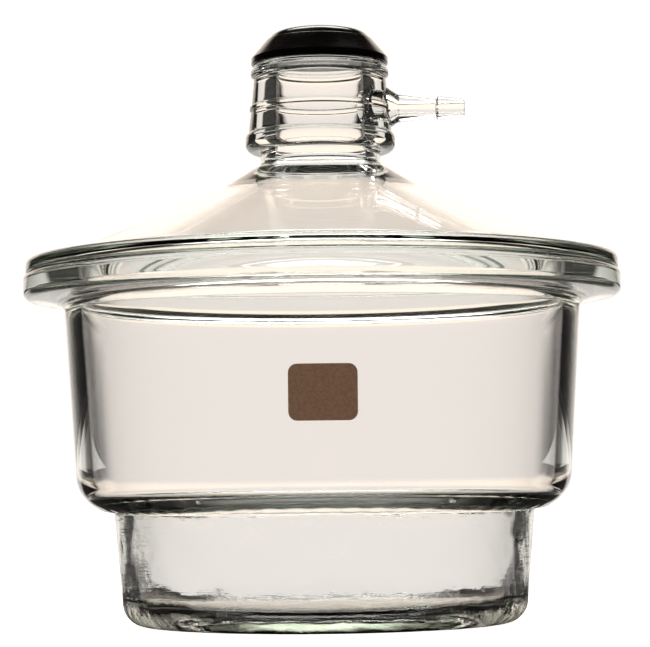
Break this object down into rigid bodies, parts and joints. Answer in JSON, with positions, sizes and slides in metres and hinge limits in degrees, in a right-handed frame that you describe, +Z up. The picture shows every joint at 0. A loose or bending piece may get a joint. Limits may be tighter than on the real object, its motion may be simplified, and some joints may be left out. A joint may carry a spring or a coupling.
{
  "type": "glass vacuum desiccator",
  "caption": "Stepped glass bowl with a ground flange, a conical glass lid, a turning glass sleeve valve with a serrated hose connection, and a black cap.",
  "frame": {"origin": "middle of the surface that the bowl stands on, on the common axis of all the pieces", "axes": "+Z up along the common axis; +X along the hose connection, from the axis to its tip, with the sleeve valve open"},
  "size_m": [0.2558, 0.2558, 0.257],
  "materials": {
    "bowl_glass": "clear pressed glass, ground flange",
    "lid_glass": "clear glass, ground flange and ground neck",
    "sleeve_glass": "clear glass, ground bore",
    "black_rubber": "smooth satin black rubber",
    "brown_enamel": "fired brown enamel of the marking spot on the bowl"
  },
  "bodies": {
    "bowl": {"base_bowl": "bowl_glass"},
    "cover": {"lid": "lid_glass"},
    "valve": {"valve_sleeve": "sleeve_glass"},
    "cap": {"rubber_cap": "black_rubber"}
  },
  "joints": [
    {"name": "lid_lift", "type": "slide", "parent": "bowl", "child": "cover", "axis": [0, 0, 1], "range_m": [0, 0.12]},
    {"name": "sleeve_turn", "type": "hinge", "parent": "cover", "child": "valve", "pos_m": [0, 0, 0.2211], "axis": [0, 0, 1], "continuous": true},
    {"name": "cap_pull", "type": "slide", "parent": "valve", "child": "cap", "axis": [0, 0, 1], "range_m": [0, 0.03]}
  ]
}
